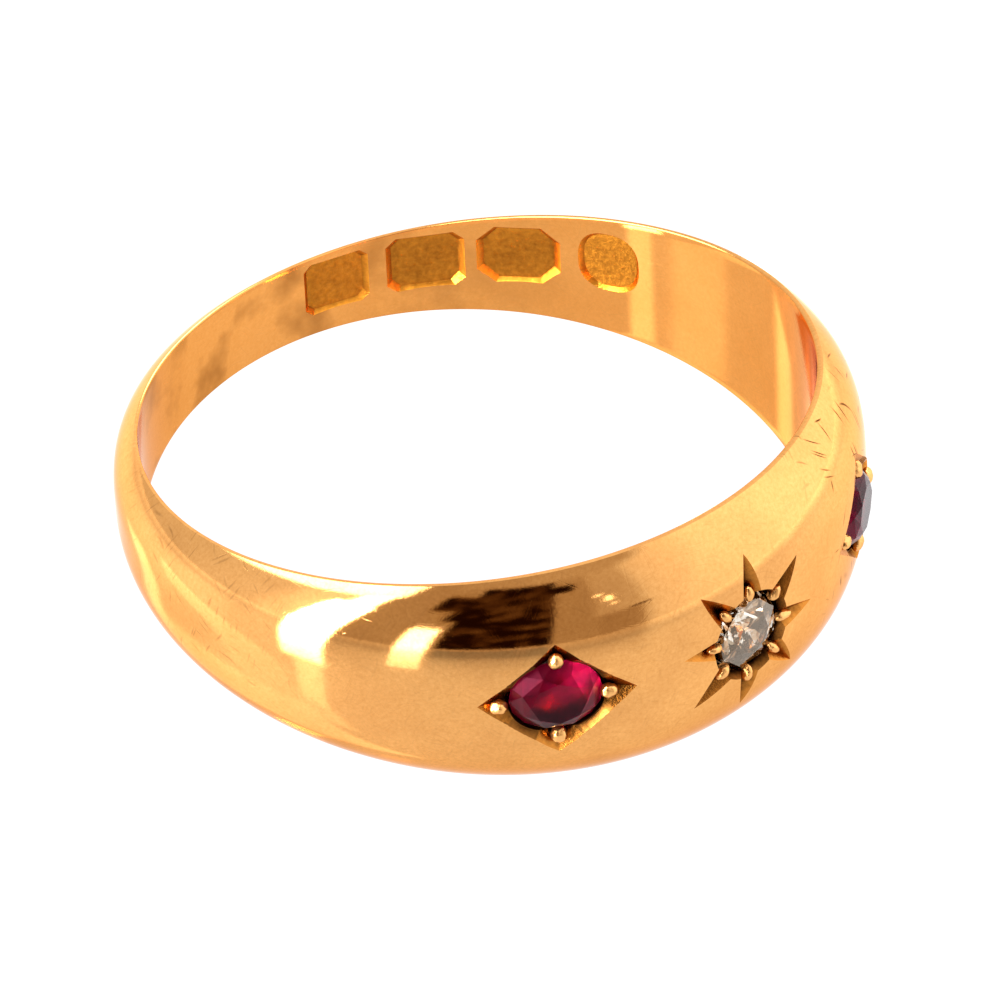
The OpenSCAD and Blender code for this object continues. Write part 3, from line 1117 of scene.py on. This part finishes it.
def grain_places():
    """Points with the way out of the band, the way from the stone and the size at each."""
    places = []
    for angle in STAR_ANGLES:
        places.append((0, DIAMOND_SUNK, angle, STAR_GRAIN_REACH, STAR_GRAIN_HEIGHT, STAR_GRAIN))
    for turn in (LEFT_RUBY, RIGHT_RUBY):
        for i, reach in enumerate(RUBY_GRAIN_REACHES):
            angle = 180 - 90 * i
            places.append((turn, RUBY_SUNK, angle, reach, RUBY_GRAIN_HEIGHT, RUBY_GRAIN))
    marked = {"place": [], "outward": [], "away": [], "size": []}
    for turn, sunk, angle, reach, height, size in places:
        across, up = math.sin(math.radians(angle)), math.cos(math.radians(angle))
        marked["place"].append(seat_point(turn, sunk, reach * across, reach * up, height))
        marked["outward"].append(polar(turn, 1, 0))
        marked["away"].append(polar(turn + 90, 1, 0) * across + Vector((0, 0, up)))
        marked["size"].append(size)
    return marked


marked = grain_places()
seeds = put("grain_places", bpy.data.meshes.new("grain_places"))
seeds.data.from_pydata(marked["place"], [], [])
for name in ("outward", "away", "size"):
    attribute = seeds.data.attributes.new(name, "FLOAT_VECTOR", "POINT")
    attribute.data.foreach_set("vector", [c for v in marked[name] for c in v])
print("grains:", len(marked["place"]))

# %% [markdown]
# The tree turns each marked point into a bead that stands on the band, long side away from the stone. Its
# size is the marked one, a little more or less.

# %% Set a bead at each marked place
BEAD_STEPS = 5


def beads(tree, given):
    places = add(tree, "GeometryNodeObjectInfo", {"Object": given["Places"]})
    points = add(tree, "GeometryNodeMeshToPoints", {"Mesh": places.outputs["Geometry"]})
    outward, away, size = (
        add(tree, "GeometryNodeInputNamedAttribute", {"Name": name}, data_type="FLOAT_VECTOR").outputs[0]
        for name in ("outward", "away", "size")
    )
    bead = add(tree, "GeometryNodeMeshIcoSphere", {"Radius": 1, "Subdivisions": BEAD_STEPS})
    stand = add(
        tree,
        "FunctionNodeAxesToRotation",
        {"Primary Axis": outward, "Secondary Axis": away},
        primary_axis="Z",
        secondary_axis="X",
    )
    least = add(tree, "ShaderNodeMath", {0: 1, 1: given["Spread"]}, operation="SUBTRACT")
    most = add(tree, "ShaderNodeMath", {0: 1, 1: given["Spread"]}, operation="ADD")
    vary = add(
        tree,
        "FunctionNodeRandomValue",
        {"Min": least.outputs[0], "Max": most.outputs[0], "Seed": given["Seed"]},
        data_type="FLOAT_VECTOR",
    )
    sized = add(
        tree, "ShaderNodeVectorMath", {0: size, 1: vary.outputs[0]}, operation="MULTIPLY"
    )
    set_beads = add(
        tree,
        "GeometryNodeInstanceOnPoints",
        {
            "Points": points.outputs[0],
            "Instance": bead.outputs["Mesh"],
            "Rotation": stand.outputs[0],
            "Scale": sized.outputs[0],
        },
    )
    return add(tree, "GeometryNodeRealizeInstances", {0: set_beads.outputs[0]}).outputs[0]


print("a bead has", 20 * 4 ** (BEAD_STEPS - 1), "triangles")

# %% [markdown]
# A noise that is read once the beads are real geometry makes each one lumpy in its own way, because by
# then every bead lies at its own place in the noise.

# %% The tree of the grains, and the grains grown from it


def grain_tree():
    inputs = [("Places", "Object"), ("Spread", "Float"), ("Lumps", "Float"), ("Lump Fineness", "Float")]
    tree, given, end = new_tree("raised_grains", inputs + [("Seed", "Int"), ("Gold", "Material")])
    lump = add(tree, "ShaderNodeTexNoise", {"Scale": given["Lump Fineness"], "Detail": 2})
    swing = add(
        tree, "ShaderNodeMapRange", {"Value": lump.outputs["Fac"], "To Min": -1, "To Max": 1}
    )
    push = add(tree, "ShaderNodeMath", {0: swing.outputs[0], 1: given["Lumps"]}, operation="MULTIPLY")
    along = add(
        tree,
        "ShaderNodeVectorMath",
        {0: add(tree, "GeometryNodeInputNormal").outputs[0], "Scale": push.outputs[0]},
        operation="SCALE",
    )
    lumpy = add(
        tree, "GeometryNodeSetPosition", {"Geometry": beads(tree, given), "Offset": along.outputs[0]}
    )
    smooth = add(tree, "GeometryNodeSetShadeSmooth", {0: lumpy.outputs[0]})
    gold = add(
        tree,
        "GeometryNodeSetMaterial",
        {"Geometry": smooth.outputs[0], "Material": given["Gold"]},
    )
    tree.links.new(gold.outputs[0], end.inputs[0])
    return tree


grains = grow(
    "setting_grains",
    grain_tree(),
    {
        "Places": seeds,
        "Spread": 0.15,
        "Lumps": 0.05,
        "Lump Fineness": 4,
        "Seed": 7,
        "Gold": GOLDS[GRAIN],
    },
)
bpy.data.objects.remove(seeds)
# The depth of each grain sets how far its foot darkens, with dirt and painted shade.
note_depth(grains.data)
grains.data.transform(lay_down)
print("grains:", len(grains.data.polygons), "faces")

# %% [markdown]
# ## The stones
# The diamond is an old cut: a small table, a high crown and a blunt culet, cut by eye, so its facets are
# not quite even. The rubies are ovals with a broad table. A cut stone is convex, so the hull of its
# corners is the stone, and a little seeded unevenness of the corners gives the chunky, lively facets.

# %% Cut the stones
UPRIGHT_SHARE = 0.3


def facet_ring(sides, rx, ry, height, offset=0):
    angles = [2 * math.pi * (i + offset) / sides for i in range(sides)]
    return [Vector((rx * math.cos(a), ry * math.sin(a), height)) for a in angles]


def stone(name, turn, sunk, length, width, crown, pavilion, table, shoulder, bulge, uneven, seed):
    """A cut stone from six rings of corners: table, shoulder, two for the girdle, lower facets, culet."""
    rx, ry = length / 2, width / 2
    crown_height = crown * (1 - shoulder * math.cos(HALF_FACET)) / (1 - table) + bulge
    rings = [
        facet_ring(FACETS, table * rx, table * ry, crown),
        facet_ring(FACETS, shoulder * rx, shoulder * ry, crown_height, 0.5),
        facet_ring(2 * FACETS, rx, ry, 0),
        facet_ring(2 * FACETS, rx, ry, -GIRDLE),
        facet_ring(FACETS, LOWER_SHARE * rx, LOWER_SHARE * ry, -GIRDLE - lower_depth(pavilion), 0.5),
        facet_ring(FACETS, CULET_SHARE * rx, CULET_SHARE * ry, -GIRDLE - pavilion),
    ]
    rng = np.random.default_rng(seed)
    corners = []
    for number, ring in enumerate(rings):
        for corner in ring:
            slip = rng.uniform(-uneven, uneven, 3)
            level = 0 if number in (0, len(rings) - 1) else UPRIGHT_SHARE * slip[2]
            corners.append(corner * (1 - abs(slip[0])) + Vector((0, 0, level)))
    piece = hull(name, corners)
    piece.data.transform(lay_down @ seat_matrix(turn, sunk))
    return piece


DIAMOND_SIZES = (DIAMOND_SUNK, DIAMOND_D, DIAMOND_D, 0.42, DIAMOND_PAVILION, 0.5, 0.9, 0.1, 0.06)
RUBY_SIZES = (RUBY_SUNK, RUBY_LENGTH, RUBY_WIDTH, 0.42, RUBY_PAVILION, 0.6, 0.8, 0.03, 0.03)
diamond = stone("old_cut_diamond", 0, *DIAMOND_SIZES, 3)
left_ruby = stone("left_oval_ruby", LEFT_RUBY, *RUBY_SIZES, 5)
right_ruby = stone("right_oval_ruby", RIGHT_RUBY, *RUBY_SIZES, 8)
print("facets:", [len(s.data.polygons) for s in (diamond, left_ruby, right_ruby)])

# %% [markdown]
# ### Diamond and ruby
# Diamond bends light more than any other clear stone, so its index of refraction is 2.42, and it shows
# pieces of the room turned over in each facet. Ruby is corundum, index 1.77, coloured by chromium: red
# light passes and the rest is lost on the way through. A slow noise patches the colour of both. In the
# diamond the brown patches are a painted reflection of the gold seen through it, and the ruby gets the
# dark patches of an old stone whose skin has gone dull.

# %% Materials of the stones


def clear_stone(name, hex_colour, dark_tone_and_reflection_hex, fineness, contrast, ior, roughness, gloss_hex):
    """A clear stone with darker patches in its colour, a tinted gloss and a skin that is polished or dull.
    The patches are a painted reflection of gold in the diamond, and the stone's own tone in the ruby.
    """
    material, tree, shader = new_material(name)
    place = place_in_mm(tree)
    tone_and_reflection_noise = add(tree, "ShaderNodeTexNoise", {"Vector": place, "Scale": fineness, "Detail": 3})
    share = add(
        tree,
        "ShaderNodeMapRange",
        {"Value": tone_and_reflection_noise.outputs["Fac"], "From Min": 0.5 - contrast, "From Max": 0.5 + contrast},
    )
    colour = add(
        tree,
        "ShaderNodeMix",
        {0: share.outputs[0], 6: linear(hex_colour), 7: linear(dark_tone_and_reflection_hex)},
        data_type="RGBA",
    )
    tree.links.new(colour.outputs[2], shader.inputs["Base Color"])
    shader.inputs["Transmission Weight"].default_value = 1
    shader.inputs["IOR"].default_value = ior
    shader.inputs["Roughness"].default_value = roughness
    shader.inputs["Specular Tint"].default_value = linear(gloss_hex)
    return material


# The diamond's brown #B07C52 patches are a painted reflection of the gold round it.
DIAMOND = clear_stone("clear_old_cut_diamond", "#FFF1E0", "#B07C52", 3.2, 0.04, 2.417, 0, "#FFE6CC")
RUBY = clear_stone("red_corundum_ruby", "#96062C", "#54041E", 1.4, 0.12, 1.77, 0.32, "#7A2A40")
diamond.data.materials.append(DIAMOND)
left_ruby.data.materials.append(RUBY)
right_ruby.data.materials.append(RUBY)
print("stones have", DIAMOND.name, "and", RUBY.name)

# %% [markdown]
# ## Riding and replacing
# Each finished piece rides on the ring's one body, and the imported solid whose place it takes is hidden.
# The grains are part of the band's solid, so they ride but hide nothing. The finish of the record that each
# piece takes is printed.

# %% Hang each piece on the body, hide the solid it replaces, and print its finish
for piece, node in (
    (band, "band"),
    (diamond, "centre_diamond"),
    (left_ruby, "left_ruby"),
    (right_ruby, "right_ruby"),
):
    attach(piece, "root")
    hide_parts(node)
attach(grains, "root")
for piece, slot_name in (
    (band, "gold"),
    (grains, "gold"),
    (diamond, "diamond"),
    (left_ruby, "ruby"),
    (right_ruby, "ruby"),
):
    print(piece.name, "is", slot_name)

# %% [markdown]
# ## The table
# The ring lies on white acrylic lit from below, as a jeweller's light table is. It casts hardly a shadow,
# and the gold mirrors plain white light from underneath. The glow is a little stronger behind the ring.
# Round the ring that extra glow is left out, as a painted shadow of the ring on the table, and far away the
# glow is weaker, where gold at a low angle would mirror too much of it. The polish of the acrylic mirrors
# the windows at a low angle, as streaks in the gold. The camera itself sees the table as plain white
# light, which also halves the time of the render.

# %% Make the table
TABLE_REACH = 1.5
PAINTED_SHADOW_NEAR, PAINTED_SHADOW_FAR = 0.0088, 0.0125
GLOW_WAY, GLOW_FROM, GLOW_TO = (0.45, 0.89, 0), -0.013, 0.003
TABLE_LIGHT, TABLE_GLOW, WHITE_LIGHT = 0.96, 0.6, 1.1
LIT_NEAR, LIT_FAR, FAR_SHARE = 0.015, 0.045, 0.35


def table():
    """Distances from the ring and along the way of the glow, all in metres, set the light of the table."""
    mesh = bpy.data.meshes.new("light_table")
    corners = [(-1, -1, 0), (1, -1, 0), (1, 1, 0), (-1, 1, 0)]
    mesh.from_pydata([Vector(c) * TABLE_REACH for c in corners], [], [(0, 1, 2, 3)])
    material, tree, shader = new_material("lit_white_acrylic")
    place = add(tree, "ShaderNodeTexCoord").outputs["Object"]
    away = add(tree, "ShaderNodeVectorMath", {0: place}, operation="LENGTH").outputs["Value"]
    along = add(
        tree, "ShaderNodeVectorMath", {0: place, 1: GLOW_WAY}, operation="DOT_PRODUCT"
    ).outputs["Value"]
    # Near the ring the extra glow is held back: a painted shadow of the ring on the table.
    clear = add(
        tree, "ShaderNodeMapRange", {"Value": away, "From Min": PAINTED_SHADOW_NEAR, "From Max": PAINTED_SHADOW_FAR}
    )
    behind = add(
        tree, "ShaderNodeMapRange", {"Value": along, "From Min": GLOW_FROM, "From Max": GLOW_TO}
    )
    glow = add(
        tree, "ShaderNodeMath", {0: clear.outputs[0], 1: behind.outputs[0]}, operation="MULTIPLY"
    )
    lit = add(
        tree,
        "ShaderNodeMath",
        {0: glow.outputs[0], 1: TABLE_GLOW, 2: TABLE_LIGHT},
        operation="MULTIPLY_ADD",
    )
    fading = add(
        tree,
        "ShaderNodeMapRange",
        {"Value": away, "From Min": LIT_NEAR, "From Max": LIT_FAR, "To Min": 1, "To Max": FAR_SHARE},
    )
    lit = add(
        tree, "ShaderNodeMath", {0: lit.outputs[0], 1: fading.outputs[0]}, operation="MULTIPLY"
    )
    tree.links.new(lit.outputs[0], shader.inputs["Emission Strength"])
    shader.inputs["Emission Color"].default_value = linear("#FFFFFF")
    shader.inputs["Base Color"].default_value = linear("#383838")
    shader.inputs["Roughness"].default_value = 0.03
    seen = add(tree, "ShaderNodeLightPath").outputs["Is Camera Ray"]
    white = add(tree, "ShaderNodeEmission", {"Color": linear("#FFFFFF"), "Strength": WHITE_LIGHT})
    shown = add(tree, "ShaderNodeMixShader", {0: seen, 1: shader.outputs[0], 2: white.outputs[0]})
    tree.links.new(shown.outputs[0], tree.get_output_node("ALL").inputs["Surface"])
    mesh.materials.append(material)
    top = put("light_table", mesh)
    return top


TABLE = table()
print("table:", [round(side, 2) for side in TABLE.dimensions], "m")

# %% [markdown]
# ## The studio round the ring
# Gold shows the room, so the room is the light. It is drawn into the world by direction: the turn round
# the ring, 0 at its front, and the height over the table, both in degrees. First the pale walls, then
# panels laid over them one by one: the dim side on the left with the dark shape of a camera and its stand,
# a tall window far to the left with its curved top, a small one beside it, and lamps behind the ring.

# %% Read a direction, and lay a panel
WHOLE_TURN = 360


def direction(tree):
    toward = add(tree, "ShaderNodeTexCoord").outputs["Generated"]
    way = add(tree, "ShaderNodeSeparateXYZ", {0: toward}).outputs
    back = add(tree, "ShaderNodeMath", {0: way["Y"], 1: -1}, operation="MULTIPLY")
    turn = add(tree, "ShaderNodeMath", {0: way["X"], 1: back.outputs[0]}, operation="ARCTAN2")
    rise = add(tree, "ShaderNodeMath", {0: way["Z"]}, operation="ARCSINE")
    return [
        add(tree, "ShaderNodeMath", {0: angle.outputs[0]}, operation="DEGREES").outputs[0]
        for angle in (turn, rise)
    ]


def panel(tree, angles, before, middle, reach, soft, slant, light):
    """Within its reach, a panel's own light takes the place of what was there before.
    Its height follows the slant, in degrees of rise for each degree of turn."""
    turned = add(tree, "ShaderNodeMath", {0: angles[0], 1: middle[0]}, operation="SUBTRACT").outputs[0]
    turned = add(
        tree,
        "ShaderNodeMath",
        {0: turned, 1: WHOLE_TURN / 2, 2: -WHOLE_TURN / 2},
        operation="WRAP",
    ).outputs[0]
    risen = add(tree, "ShaderNodeMath", {0: angles[1], 1: middle[1]}, operation="SUBTRACT").outputs[0]
    risen = add(
        tree, "ShaderNodeMath", {0: turned, 1: -slant, 2: risen}, operation="MULTIPLY_ADD"
    ).outputs[0]
    cover = 1
    for off, half, blur in zip((turned, risen), reach, soft):
        away = add(tree, "ShaderNodeMath", {0: off}, operation="ABSOLUTE")
        inside = add(
            tree,
            "ShaderNodeMapRange",
            {
                "Value": away.outputs[0],
                "From Min": half - blur,
                "From Max": half + blur,
                "To Min": 1,
                "To Max": 0,
            },
            interpolation_type="SMOOTHSTEP",
        ).outputs[0]
        cover = add(tree, "ShaderNodeMath", {0: cover, 1: inside}, operation="MULTIPLY").outputs[0]
    return add(
        tree,
        "ShaderNodeMix",
        {0: cover, 2: before, 3: light},
        data_type="FLOAT",
    ).outputs[0]


# %% [markdown]
# Each wall stop is a turn and its light. Each panel is the middle, how far it reaches either way, how soft
# its edges are, how it slants, and its light. Light near 1 shows gold in its own colour.

# %% The walls and the panels
WALL_LIGHT = 2.2
WALLS = [
    (-179, 1), (-150, 1), (-135, 1.1), (-120, 1.2), (-112, 1.7), (-106, 1.9), (-91, 0.9), (-88, 0.62),
    (-31, 0.52), (-16, 0.54), (-14, 0.74), (-1, 0.8), (3, 1.15), (22, 1.55), (37, 1.8), (52, 2.0),
    (75, 2.05), (100, 2), (120, 1.7), (150, 1.2), (179, 1),
]
DARK = "dark"
DARK_FINENESS, DARK_FROM, DARK_TO = 8, 0.015, 0.16
PANELS = [
    ((-40, 78), (55, 21), (8, 3), 0, 0.68),
    ((-83, 30), (9, 45), (1.5, 3), 0, 0.6),
    ((-66.5, 45.7), (6.5, 6.3), (1, 1.5), 0, DARK),
    ((-62, 36), (3, 6), (1, 1.5), 0, DARK),
    ((-44.5, 29.4), (16.2, 28.6), (0.6, 0.8), 0, DARK),
    ((-25.5, 51.2), (5, 2.6), (1, 0.6), 0, DARK),
    ((-8, 9), (7, 10), (2, 2.5), 0, 0.5),
    ((-1, 19.3), (3.2, 0.7), (1, 0.4), 0, 0.1),
    ((-67.2, 10.5), (4.3, 11), (0.5, 0.6), 0, 8),
    ((-67, 24), (4.2, 0.6), (0.5, 0.3), 0, 2.2),
    ((-97.5, 11.5), (6.5, 21.5), (1.2, 2), 0, 70),
    ((-96.5, 40), (4.5, 7), (1.5, 2), 0, 15),
    ((-120, 40.5), (31, 6), (2, 1), 0.38, 8),
    ((-141, 64), (42, 18), (3, 2), 0, 13),
    ((-10, 34), (1, 2.2), (0.5, 1), 0, 5),
    ((-13, 39), (1, 0.8), (0.5, 0.4), 0, 4),
    ((-9, 28), (0.7, 1), (0.4, 0.5), 0, 3),
    ((128, 36), (7, 9), (3, 3), 0, 9),
    ((-172, 42), (6, 7), (3, 3), 0, 24),
]


def walls(tree, angles):
    share = add(
        tree, "ShaderNodeMapRange", {"Value": angles[0], "From Min": -180, "From Max": 180}
    )
    ramp_node = add(tree, "ShaderNodeValToRGB", {"Fac": share.outputs[0]})
    ramp = ramp_node.color_ramp
    for turn, light in WALLS:
        stop = ramp.elements.new((turn + 180) / WHOLE_TURN)
        stop.color = [light / WALL_LIGHT] * 3 + [1]
    ramp.elements.remove(ramp.elements[0])
    ramp.elements.remove(ramp.elements[-1])
    return add(
        tree, "ShaderNodeMath", {0: ramp_node.outputs["Color"], 1: WALL_LIGHT}, operation="MULTIPLY"
    ).outputs[0]


def dark_shape(tree):
    """The camera and what stands round it: nearly black, with a few dull things in it."""
    things = add(
        tree,
        "ShaderNodeTexNoise",
        {
            "Vector": add(tree, "ShaderNodeTexCoord").outputs["Generated"],
            "Scale": DARK_FINENESS,
            "Detail": 3,
        },
    )
    return add(
        tree,
        "ShaderNodeMapRange",
        {
            "Value": things.outputs["Fac"],
            "From Min": 0.46,
            "From Max": 0.7,
            "To Min": DARK_FROM,
            "To Max": DARK_TO,
        },
    ).outputs[0]


print("walls from", min(w[1] for w in WALLS), "to", max(w[1] for w in WALLS), "with", len(PANELS), "panels")


# %% [markdown]
# What is dim in the room is warm as well: wood and brass more than white walls. So the green and blue of
# a light under 1 fall off faster than its red. The camera itself sees plain white above the table's edge.

# %% Build the world
GREEN_FALL, BLUE_FALL = 0.3, 0.7


def studio():
    world = bpy.data.worlds.new("studio")
    bpy.context.scene.world = world
    world.use_nodes = True
    tree = world.node_tree
    tree.nodes.clear()
    angles = direction(tree)
    light = walls(tree, angles)
    dark = dark_shape(tree)
    for middle, reach, soft, slant, strength in PANELS:
        laid = dark if strength == DARK else strength
        light = panel(tree, angles, light, middle, reach, soft, slant, laid)
    under_one = add(tree, "ShaderNodeMath", {0: light, 1: 1}, operation="MINIMUM").outputs[0]
    channels = {"Red": light}
    for channel, fall in (("Green", GREEN_FALL), ("Blue", BLUE_FALL)):
        share = add(tree, "ShaderNodeMath", {0: under_one, 1: fall}, operation="POWER").outputs[0]
        channels[channel] = add(
            tree, "ShaderNodeMath", {0: light, 1: share}, operation="MULTIPLY"
        ).outputs[0]
    tinted = add(tree, "ShaderNodeCombineColor", channels).outputs[0]
    seen = add(tree, "ShaderNodeLightPath").outputs["Is Camera Ray"]
    shown = add(
        tree,
        "ShaderNodeMix",
        {0: seen, 6: tinted, 7: linear("#FFFFFF")},
        data_type="RGBA",
    )
    sky = add(tree, "ShaderNodeBackground", {"Color": shown.outputs[2], "Strength": 1})
    add(tree, "ShaderNodeOutputWorld", {"Surface": sky.outputs[0]})
    return world


WORLD = studio()
print("world", WORLD.name, "has", len(WORLD.node_tree.nodes), "nodes")

# %% [markdown]
# ## The camera
# The photograph was taken from the left and from above, with a long lens close to the ring. The camera is
# placed by its turn and height round the upright ring, and laid down with it.

# %% Place the camera
CAMERA_TURN, CAMERA_HEIGHT, CAMERA_ROLL = (math.radians(a) for a in (-41.1997, 37.4363, -2.7247))
CAMERA_DISTANCE, SLIDE_RIGHT, SLIDE_UP = 232.235, 0.5213, -0.9148
LENS, SENSOR_WIDTH = 324, 36
CLIP_NEAR, CLIP_FAR = 0.01, 10


def camera():
    back = Vector(
        (
            math.sin(CAMERA_TURN) * math.cos(CAMERA_HEIGHT),
            -math.cos(CAMERA_TURN) * math.cos(CAMERA_HEIGHT),
            math.sin(CAMERA_HEIGHT),
        )
    )
    level = Vector((math.cos(CAMERA_TURN), math.sin(CAMERA_TURN), 0))
    upright = back.cross(level)
    right = level * math.cos(CAMERA_ROLL) + upright * math.sin(CAMERA_ROLL)
    up = upright * math.cos(CAMERA_ROLL) - level * math.sin(CAMERA_ROLL)
    place = back * CAMERA_DISTANCE + right * SLIDE_RIGHT + up * SLIDE_UP
    data = bpy.data.cameras.new("camera")
    data.lens, data.sensor_width = LENS, SENSOR_WIDTH
    data.clip_start, data.clip_end = CLIP_NEAR, CLIP_FAR
    body = put("camera", data)
    lean = Matrix.Rotation(-LEAN, 3, "X")
    body.matrix_world = Matrix.Translation(lay_down @ place) @ (
        lean @ Matrix((right, up, back)).transposed()
    ).to_4x4()
    bpy.context.scene.camera = body
    return body


CAMERA = camera()
bpy.context.scene.view_settings.view_transform = "Standard"
print("camera at", [round(c, 4) for c in CAMERA.location])
